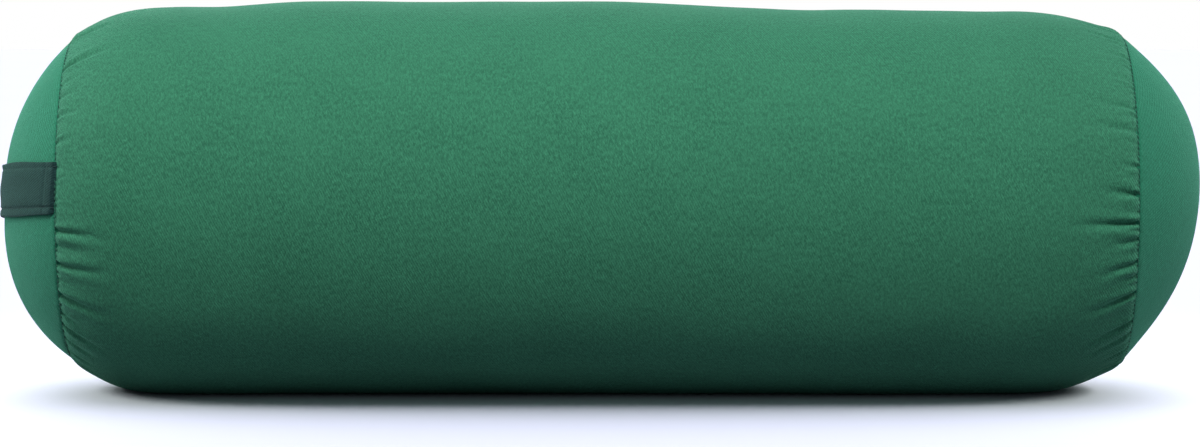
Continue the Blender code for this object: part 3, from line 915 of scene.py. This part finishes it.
SLIDER_X = 0.2061
SLIDER_HALF = 0.0050
PLATE_HALF = 0.0040
PLATE_KEEP = 0.66  # share of the plates' width that is left at the tail
CROWN_HALF = 0.0012
PIN_HEIGHT = 0.0023
PULL_LENGTH = 0.0210
PULL_LOW = 0.00185
PULL_HIGH = 0.00275


def build_slider():
    """Die-cast slider: shield-shaped plates with rims, joined by a wedge, and a crown for the pull."""
    tail, nose = SLIDER_X - SLIDER_HALF, SLIDER_X + SLIDER_HALF
    waist = SLIDER_X + 0.0008
    plate = add_block("plate", (tail, 0.0005, -PLATE_HALF), (nose, 0.0015, PLATE_HALF), 0.00035)
    taper(plate, waist, tail, PLATE_KEEP)
    parts = [plate]
    for side in (-1, 1):
        low, high = sorted((side * 0.0032, side * PLATE_HALF))
        start, end = (SLIDER_X - 0.0010, -0.0031, low), (nose - 0.0016, 0.0006, high)
        parts.append(add_block("rim", start, end, 0.0002))
    below = add_block("below", (tail, -0.0037, -PLATE_HALF), (nose, -0.0027, PLATE_HALF), 0.0003)
    taper(below, waist, tail, PLATE_KEEP)
    parts.append(below)
    start, end = (nose - 0.0026, -0.0030, -0.0004), (nose - 0.0008, 0.0008, 0.0004)
    parts.append(add_block("wedge", start, end, 0.0002))
    back, front = SLIDER_X - CROWN_HALF, SLIDER_X + CROWN_HALF
    for side in (-1, 1):
        low, high = sorted((side * 0.0011, side * 0.0016))
        parts.append(add_block("crown", (back, 0.0014, low), (front, 0.0034, high), 0.0002))
    parts.append(add_block("crown_top", (back, 0.0029, -0.0016), (front, 0.0036, 0.0016), 0.0003))
    return to_back_seam(join_pieces(parts, "zip_slider_body"))


def taper(piece, from_x, to_x, keep):
    """Narrows a piece towards one end. The piece is cut into slices first, so that its outline curves."""
    with editing(piece):
        for share in (0.0, 0.25, 0.5, 0.75):
            bpy.ops.mesh.select_all(action="SELECT")
            bpy.ops.mesh.bisect(plane_co=(from_x + (to_x - from_x) * share, 0, 0), plane_no=(1, 0, 0))
    points = corners(piece)
    points[:, 2] *= 1 - (1 - keep) * smoothstep(0, 1, (points[:, 0] - from_x) / (to_x - from_x))
    place(piece, points)


def build_pull():
    """The pull lies flat towards -X: a forked eye round the pin, and a tab with a recessed grip."""
    pin = SLIDER_X + 0.00105
    end = pin - PULL_LENGTH
    clear_selection()
    bpy.ops.mesh.primitive_cube_add(size=1)
    tab = bpy.context.object
    tab.scale = (0.0178, PULL_HIGH - PULL_LOW, 0.0056)
    tab.location = (end + 0.0089, (PULL_LOW + PULL_HIGH) / 2, 0)
    finish_place(tab)
    round_corners(tab, end, 0.0027)
    recess_grip(tab)
    ease_edges(tab, 0.00016, 2)
    apply_modifiers(tab)
    arms = []
    for side in (-1, 1):
        near, far = sorted((side * 0.0020, side * 0.0028))
        arms.append(add_block("arm", (pin - 0.0034, PULL_LOW, near), (pin + 0.0005, PULL_HIGH, far), 0.0002))
    clear_selection()
    spot = (pin, PIN_HEIGHT, 0)
    bpy.ops.mesh.primitive_cylinder_add(vertices=20, radius=0.00042, depth=0.0054, location=spot)
    axle = finish_place(bpy.context.object)
    return to_back_seam(join_pieces([tab, *arms, axle], "zip_pull_tab_body"))


def round_corners(tab, end, radius):
    """Rounds the two upright edges at the free end of the pull."""

    def at_end(edge):
        spots = [vertex.co for vertex in edge.verts]
        upright = abs(spots[0].y - spots[1].y) > 1e-4
        return upright and all(spot.x < end + 1e-4 for spot in spots)

    with editing(tab, "EDGE", "DESELECT"):
        choose_parts(tab, "edges", at_end)
        bpy.ops.mesh.bevel(offset=radius, segments=7, affect="EDGES")


def recess_grip(tab):
    """Sinks a panel into the broad faces of the pull."""
    with editing(tab, "FACE", "DESELECT"):
        choose_parts(tab, "faces", lambda face: abs(face.normal.y) > 0.99)
        bpy.ops.mesh.inset(thickness=0.0009, use_individual=True)
        bpy.ops.mesh.inset(thickness=0.0002, depth=-0.00018, use_individual=True)


def build_zip_topstitch(name, side):
    """Topstitching that holds the folded hem beside the zip."""
    x = np.linspace(-ZIP_HALF - 0.004, ZIP_HALF + 0.004, 300)
    turn = ZIP_ANGLE + side * (SLOT_HALF + 0.0026) / RADIUS
    radius = outline_radius(x, np.full_like(x, turn)) + 0.00012
    path = np.stack([CENTRE_X + x, radius * math.cos(turn), AXIS_Z + radius * math.sin(turn)], axis=1)
    outward = np.tile((0.0, math.cos(turn), math.sin(turn)), (len(x), 1))
    return stitch_row(f"zip_topstitch_{name}", path, outward, 0.0021, 0.0007, 0.00026)


# ---------------------------------------------------------------- materials


class Nodes:
    """Short names for the nodes of one material."""

    def __init__(self, name):
        self.material = bpy.data.materials.new(name)
        self.material.use_nodes = True
        self.tree = self.material.node_tree
        self.shader = self.tree.nodes["Principled BSDF"]

    def add(self, kind, **settings):
        node = self.tree.nodes.new(kind)
        for key, value in settings.items():
            setattr(node, key, value)
        return node

    def join(self, output, target):
        self.tree.links.new(output, target)
        return output

    def uv(self):
        return self.add("ShaderNodeUVMap", uv_map="UVMap").outputs["UV"]

    def spot(self):
        return self.add("ShaderNodeTexCoord").outputs["Object"]

    def stretch(self, vector, scale, turn=0.0):
        node = self.add("ShaderNodeMapping")
        node.inputs["Scale"].default_value = scale
        node.inputs["Rotation"].default_value = (0, 0, turn)
        self.join(vector, node.inputs["Vector"])
        return node.outputs["Vector"]

    def noise(self, vector, scale=1.0, detail=2.0, roughness=0.5):
        node = self.add("ShaderNodeTexNoise")
        node.inputs["Scale"].default_value = scale
        node.inputs["Detail"].default_value = detail
        node.inputs["Roughness"].default_value = roughness
        self.join(vector, node.inputs["Vector"])
        return node.outputs["Fac"]

    def wave(self, vector, scale, distortion=0.0, direction="X"):
        node = self.add("ShaderNodeTexWave", bands_direction=direction)
        node.inputs["Scale"].default_value = scale
        node.inputs["Distortion"].default_value = distortion
        self.join(vector, node.inputs["Vector"])
        return node.outputs["Fac"]

    def span(self, value, low, high, to_low=0.0, to_high=1.0):
        node = self.add("ShaderNodeMapRange")
        for key, number in (("From Min", low), ("From Max", high), ("To Min", to_low), ("To Max", to_high)):
            node.inputs[key].default_value = number
        self.join(value, node.inputs["Value"])
        return node.outputs["Result"]

    def maths(self, operation, first, second):
        node = self.add("ShaderNodeMath", operation=operation)
        for socket, value in zip(node.inputs, (first, second)):
            if isinstance(value, (int, float)):
                socket.default_value = value
            else:
                self.join(value, socket)
        return node.outputs[0]

    def mix(self, share, first, second):
        node = self.add("ShaderNodeMix", data_type="RGBA")
        for socket, value in ((node.inputs[0], share), (node.inputs[6], first), (node.inputs[7], second)):
            if isinstance(value, (int, float)):
                socket.default_value = value
            elif isinstance(value, tuple):
                socket.default_value = (*value, 1)
            else:
                self.join(value, socket)
        return node.outputs[2]

    def bump(self, height, strength, distance, below=None):
        node = self.add("ShaderNodeBump")
        node.inputs["Strength"].default_value = strength
        node.inputs["Distance"].default_value = distance
        self.join(height, node.inputs["Height"])
        if below is not None:
            self.join(below, node.inputs["Normal"])
        return node.outputs["Normal"]

    def surface(self, colour=None, roughness=None, normal=None, **fixed):
        inputs = self.shader.inputs
        for key, value in fixed.items():
            inputs[key.replace("_", " ")].default_value = value
        for key, value in (("Base Color", colour), ("Roughness", roughness), ("Normal", normal)):
            if isinstance(value, (int, float)):
                inputs[key].default_value = value
            elif isinstance(value, tuple):
                inputs[key].default_value = (*value, 1)
            elif value is not None:
                self.join(value, inputs[key])
        return self.material


TWILL_LEAN = math.radians(27)
YARN_LEAN = math.radians(27 + 78)


def twill(name, dark, base, light, fleck=1.0, sheen=0.24, turn=0.0, ribbed=1.0):
    """Brushed cotton twill: slubby flecks, a diagonal rib broken up by its yarns, and soft mottling."""
    n = Nodes(name)
    uv = n.uv()
    slubs = n.noise(n.stretch(uv, (700, 330, 1), turn), 1.0, 2.0, 0.65)
    flecks = n.noise(n.stretch(uv, (1400, 640, 1), turn + 0.12), 1.0, 1.5, 0.6)
    patches = n.noise(n.stretch(uv, (26, 26, 1)), 1.0, 3.0)
    clouds = n.noise(n.stretch(uv, (150, 110, 1)), 1.0, 3.0)
    rib = n.wave(n.stretch(uv, (1, 1, 1), turn + TWILL_LEAN), 240.0, 1.2)
    picks = n.wave(n.stretch(uv, (1, 1, 1), turn + YARN_LEAN), 640.0, 0.5)
    yarns = n.maths("MULTIPLY", rib, picks)
    grain = n.maths("ADD", n.maths("MULTIPLY", slubs, 0.55), n.maths("MULTIPLY", flecks, 0.45))
    depth = n.span(grain, 0.40, 0.62)
    tone = n.mix(depth, dark, light)
    colour = n.mix(0.74 * fleck, base, tone)
    colour = n.mix(n.span(rib, 0.2, 0.9, 0.0, 0.14 * fleck * ribbed), colour, dark)
    colour = n.mix(n.span(patches, 0.35, 0.65, 0.0, 0.14), colour, light)
    colour = n.mix(n.span(clouds, 0.35, 0.65, 0.0, 0.14), colour, dark)
    colour = n.mix(n.span(yarns, 0.0, 0.7, 0.17, 0.0), colour, dark)
    height = n.maths("ADD", n.maths("MULTIPLY", rib, 0.24 * ribbed), n.maths("MULTIPLY", grain, 1.6))
    height = n.maths("ADD", height, n.maths("MULTIPLY", yarns, 0.55))
    fine = n.bump(height, 0.8, 0.00035)
    normal = n.bump(n.maths("ADD", patches, clouds), 0.25, 0.0010, fine)
    return n.surface(
        colour,
        n.span(flecks, 0.3, 0.7, 0.92, 0.80),
        normal,
        Sheen_Weight=sheen,
        Sheen_Roughness=0.45,
        Sheen_Tint=(0.30, 1.0, 0.70, 1),
        Specular_IOR_Level=0.18,
    )


def thread_material(name, colour, light):
    n = Nodes(name)
    twist = n.wave(n.stretch(n.spot(), (1, 1, 1), 0.7), 420.0)
    return n.surface(
        n.mix(twist, colour, light),
        0.65,
        n.bump(twist, 0.6, 0.0001),
        Sheen_Weight=0.0,
        Specular_IOR_Level=0.2,
    )


def tape_material():
    n = Nodes("woven_zip_tape")
    uv = n.uv()
    rows = n.wave(uv, 1400.0)
    ribs = n.wave(uv, 700.0, 0.0, "Y")
    weave = n.maths("MULTIPLY", rows, ribs)
    return n.surface(
        n.mix(weave, (0.022, 0.085, 0.058), (0.045, 0.150, 0.105)),
        0.8,
        n.bump(weave, 0.7, 0.00015),
        Sheen_Weight=0.25,
        Specular_IOR_Level=0.3,
    )


def coil_material():
    n = Nodes("nylon_coil")
    haze = n.noise(n.spot(), 900.0, 2.0)
    return n.surface(
        n.mix(haze, (0.030, 0.115, 0.080), (0.045, 0.150, 0.105)),
        n.span(haze, 0.3, 0.7, 0.28, 0.40),
        Specular_IOR_Level=0.5,
    )


def metal_material():
    """Gunmetal plating, rubbed a little brighter and smoother in patches."""
    n = Nodes("gunmetal_plating")
    wear = n.noise(n.spot(), 420.0, 4.0)
    fine = n.noise(n.stretch(n.spot(), (300, 6000, 6000)), 1.0, 2.0)
    return n.surface(
        n.mix(n.span(wear, 0.45, 0.70), (0.225, 0.230, 0.235), (0.270, 0.275, 0.280)),
        n.span(wear, 0.35, 0.7, 0.42, 0.35),
        n.bump(fine, 0.15, 0.00004),
        Metallic=1.0,
    )


def lining_material():
    n = Nodes("cotton_lining")
    spot = n.spot()
    weave = n.maths("MULTIPLY", n.wave(spot, 620.0), n.wave(spot, 620.0, 0.0, "Y"))
    slubs = n.noise(n.stretch(spot, (90, 900, 900)), 1.0, 2.0)
    return n.surface(
        n.mix(slubs, (0.62, 0.58, 0.50), (0.76, 0.72, 0.64)),
        0.9,
        n.bump(weave, 0.5, 0.0002),
        Sheen_Weight=0.2,
        Specular_IOR_Level=0.2,
    )


def wadding_material():
    n = Nodes("polyester_wadding")
    fibres = n.noise(n.spot(), 260.0, 8.0, 0.75)
    tufts = n.noise(n.spot(), 45.0, 4.0)
    return n.surface(
        n.mix(tufts, (0.80, 0.80, 0.78), (0.90, 0.90, 0.89)),
        0.95,
        n.bump(fibres, 0.9, 0.0018),
        Sheen_Weight=0.4,
        Specular_IOR_Level=0.15,
    )


def foam_material():
    n = Nodes("cut_foam")
    cells = n.add("ShaderNodeTexVoronoi")
    cells.inputs["Scale"].default_value = 650.0
    n.join(n.spot(), cells.inputs["Vector"])
    open_cells = n.span(cells.outputs["Distance"], 0.05, 0.45)
    shade = n.noise(n.spot(), 20.0, 3.0)
    colour = n.mix(shade, (0.78, 0.70, 0.46), (0.84, 0.77, 0.55))
    return n.surface(
        # The open cells are painted darker: painted shade inside the sunken pores, not a colour of the foam
        # itself.
        n.mix(n.span(open_cells, 0, 1, 0.35, 0.0), colour, (0.45, 0.38, 0.22)),
        0.95,
        n.bump(open_cells, 0.7, 0.0005),
        Specular_IOR_Level=0.15,
    )


# ---------------------------------------------------------------- stage


FLOOR_SIZE = 14
FLOOR_DROP = 0.0005  # how far the unseen floor lies below the seen one


def build_world():
    """A studio that is plain white to the camera, and otherwise dim and slightly blue."""
    world = bpy.data.worlds.new("studio")
    bpy.context.scene.world = world
    world.use_nodes = True
    tree = world.node_tree
    dim = tree.nodes["Background"]
    dim.inputs["Color"].default_value = (0.80, 0.86, 1.0, 1)
    dim.inputs["Strength"].default_value = 0.16
    white = tree.nodes.new("ShaderNodeBackground")
    white.inputs["Color"].default_value = (1, 1, 1, 1)
    seen = tree.nodes.new("ShaderNodeLightPath")
    either = tree.nodes.new("ShaderNodeMixShader")
    tree.links.new(seen.outputs["Is Camera Ray"], either.inputs["Fac"])
    tree.links.new(dim.outputs["Background"], either.inputs[1])
    tree.links.new(white.outputs["Background"], either.inputs[2])
    tree.links.new(either.outputs["Shader"], tree.nodes["World Output"].inputs["Surface"])


def build_floor():
    """A large pale floor, which throws no light back up."""
    clear_selection()
    bpy.ops.mesh.primitive_plane_add(size=1)
    floor = bpy.context.object
    floor.name = "studio_floor"
    floor.scale = (FLOOR_SIZE, FLOOR_SIZE, 1)
    finish_place(floor)
    floor.visible_diffuse = False
    n = Nodes("pale_floor")
    speckle = n.noise(n.spot(), 3.0, 2.0)
    n.surface(n.mix(speckle, (0.90, 0.92, 0.955), (0.92, 0.94, 0.97)), 0.6, Specular_IOR_Level=0.1)
    floor.data.materials.append(n.material)
    return floor


def bounce_material():
    """Grey, glowing faintly in a band on either side of the line where the bolster rests."""
    n = Nodes("grey_bounce")
    speckle = n.noise(n.spot(), 3.0, 2.0)
    n.surface(n.mix(speckle, (0.270, 0.290, 0.360), (0.280, 0.300, 0.370)), 0.9, Specular_IOR_Level=0.0)
    across = n.add("ShaderNodeSeparateXYZ")
    n.join(n.spot(), across.inputs["Vector"])
    away = n.maths("ABSOLUTE", across.outputs["Y"], 0)
    near = n.span(away, 0.045, 0.105, 0.0, 0.42)
    far = n.span(away, 0.110, 0.240, 1.0, 0.20)
    n.join(n.maths("MULTIPLY", near, far), n.shader.inputs["Emission Strength"])
    n.shader.inputs["Emission Color"].default_value = (0.90, 0.83, 1.0, 1)
    return n.material


def build_bounce(floor):
    """An unseen floor that lights the bolster's underside, in place of the pale one."""
    bounce = floor.copy()
    bounce.data = floor.data.copy()
    bounce.name = "studio_floor_bounce"
    bounce.visible_diffuse = True
    bounce.visible_camera = False
    bounce.visible_glossy = False
    bounce.visible_transmission = False
    bounce.visible_shadow = False
    bounce.data.transform(Matrix.Translation((0, 0, -FLOOR_DROP)))
    bounce.data.materials.clear()
    bounce.data.materials.append(bounce_material())
    link(bounce)


def light_only(name, floor, state):
    """A receiver list that names the floor, to light it alone or to leave it out."""
    receivers = bpy.data.collections.new(name)
    receivers.objects.link(floor)
    receivers.collection_objects[0].light_linking.link_state = state
    return receivers


def add_light(name, kind, power, colour, receivers):
    data = bpy.data.lights.new(name, kind)
    data.energy = power
    data.color = colour
    light = bpy.data.objects.new(name, data)
    light.light_linking.receiver_collection = receivers
    link(light)
    return light


def soft_light(receivers, aim, name, spot, width, height, power, colour=(1, 1, 1), spread=180):
    light = add_light(name, "AREA", power, colour, receivers)
    light.data.spread = math.radians(spread)
    light.data.shape = "RECTANGLE"
    light.data.size = width
    light.data.size_y = height
    light.location = spot
    light.rotation_euler = (Vector(aim) - Vector(spot)).to_track_quat("-Z", "Y").to_euler()


COOL = (0.96, 1.0, 1.0)
# Name, place, width, height, watts and colour.
SOFTBOXES = (
    ("key_softbox", (-0.05, -1.23, 1.45), 1.6, 0.5, 43.5, (1.0, 1.0, 0.98)),
    ("top_softbox", (0, 0.1, 2.2), 3.0, 2.0, 0.5),
    ("left_softbox", (-1.5, 0.25, 0.60), 0.6, 0.7, 15, COOL),
    ("right_softbox", (1.5, 0.30, 0.50), 0.6, 0.7, 8.5, COOL),
    ("back_softbox", (-0.2, 1.85, 0.8), 1.6, 0.8, 13, (0.97, 0.97, 1.0)),
)


def build_lights(floor):
    """Softboxes that light everything but the floor; a sun and a small light by each end for the floor."""
    bolster = light_only("all_but_the_floor", floor, "EXCLUDE")
    for softbox in SOFTBOXES:
        soft_light(bolster, (0, 0, 0.1), *softbox)
    floor_only = light_only("floor_only", floor, "INCLUDE")
    # A very wide soft sun from behind, so that the bolster's shadow fades quickly.
    sun = add_light("floor_light", "SUN", 3.6, (0.91, 0.90, 1.12), floor_only)
    sun.data.angle = math.radians(90)
    sun.rotation_euler = (math.radians(-20), 0, 0)
    for side in SIDES:
        spot = (side * 0.85, -0.12, 0.45)
        soft_light(floor_only, (side * 0.40, 0, 0), "end_floor_light", spot, 0.3, 0.3, 0.55, COOL, 60)


CAMERA_DISTANCE = 2.40
CAMERA_RISE = math.radians(4.0)
CAMERA_AIM_DROP = 0.0139  # the middle of the view lies this far below the axis
VIEW_WIDTH = 0.6928  # metres across the view, at the bolster's axis
SENSOR = 36


def build_camera():
    back = Vector((0, -math.cos(CAMERA_RISE), math.sin(CAMERA_RISE)))
    data = bpy.data.cameras.new("camera")
    data.sensor_width = SENSOR
    data.lens = SENSOR * CAMERA_DISTANCE / VIEW_WIDTH
    camera = bpy.data.objects.new("camera", data)
    camera.location = Vector((0, 0, AXIS_Z - CAMERA_AIM_DROP)) + back * CAMERA_DISTANCE
    camera.rotation_euler = (-back).to_track_quat("-Z", "Y").to_euler()
    link(camera)
    bpy.context.scene.camera = camera
    bpy.context.scene.view_settings.view_transform = "Standard"


# ---------------------------------------------------------------- the bolster


def dress(piece, material, slot, *nodes, body="bolster"):
    piece.data.materials.clear()
    piece.data.materials.append(material)
    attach(piece, body)
    if nodes:
        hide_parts(*nodes)
    return piece


def dress_cover():
    green = twill("green_twill", (0.014, 0.096, 0.054), (0.032, 0.184, 0.098), (0.052, 0.260, 0.144))
    tones = (0.007, 0.110, 0.058), (0.011, 0.158, 0.083), (0.018, 0.203, 0.112)
    end_green = twill("green_twill_end", *tones, fleck=0.8, sheen=0.35, turn=0.4, ribbed=0.12)
    thread = thread_material("green_thread", (0.007, 0.058, 0.036), (0.016, 0.098, 0.062))
    body = dress(build_body(), green, "cover_cloth", "cover_body_panel")
    for side, name in SIDES.items():
        panel = dress(build_end(side), end_green, "cover_cloth", f"cover_end_panel_{name}")
        dress(build_seam_thread(side), thread, "thread", f"seam_thread_{name}")
    for name, side in ZIP_SIDES.items():
        dress(build_zip_topstitch(name, side), thread, "thread")


def dress_strap():
    tones = (0.003, 0.016, 0.016), (0.006, 0.030, 0.029), (0.012, 0.046, 0.044)
    slate = twill("slate_strap", *tones, sheen=0.12, turn=math.pi / 2)
    strap_thread = thread_material("slate_thread", (0.006, 0.022, 0.022), (0.015, 0.045, 0.043))
    dress(build_strap(), slate, "strap_cloth", "handle_strap")
    for row in build_strap_stitches():
        dress(row, strap_thread, "thread")


def dress_zip():
    tape, coil, metal = tape_material(), coil_material(), metal_material()
    for name, side in ZIP_SIDES.items():
        dress(build_tape(name, side), tape, "zip_tape", f"zip_tape_{name}")
        dress(build_coil(name, side), coil, "zip_coil", f"zip_coil_{name}")
        low, high = sorted((side * 0.0007, side * COIL_OUTER))
        stop = build_stop(f"zip_top_stop_{name}_clamp", STOP_START, STOP_END, low, high)
        dress(stop, metal, "zip_metal", f"zip_top_stop_{name}")
    stop = build_stop("zip_bottom_stop_clamp", -STOP_END, -STOP_START, -COIL_OUTER, COIL_OUTER)
    dress(stop, metal, "zip_metal", "zip_bottom_stop")
    dress(build_slider(), metal, "zip_metal", "zip_slider", body="slider")
    dress(build_pull(), metal, "zip_metal", "zip_pull_tab", body="pull")


def dress_filling():
    lining, wadding, foam = lining_material(), wadding_material(), foam_material()
    dress(build_liner_body(), lining, "liner_cloth", "liner_body")
    dress(build_wadding(), wadding, "wadding", "batting_wrap")
    dress(build_core(), foam, "foam", "foam_core")
    for side, name in SIDES.items():
        dress(build_liner_end(side), lining, "liner_cloth", f"liner_end_{name}")
        dress(build_end_pad(side), wadding, "wadding", f"fibre_end_pad_{name}")


def main():
    build_camera()
    floor = build_floor()
    build_lights(floor)
    build_bounce(floor)
    build_world()
    dress_cover()
    dress_strap()
    dress_zip()
    dress_filling()


main()
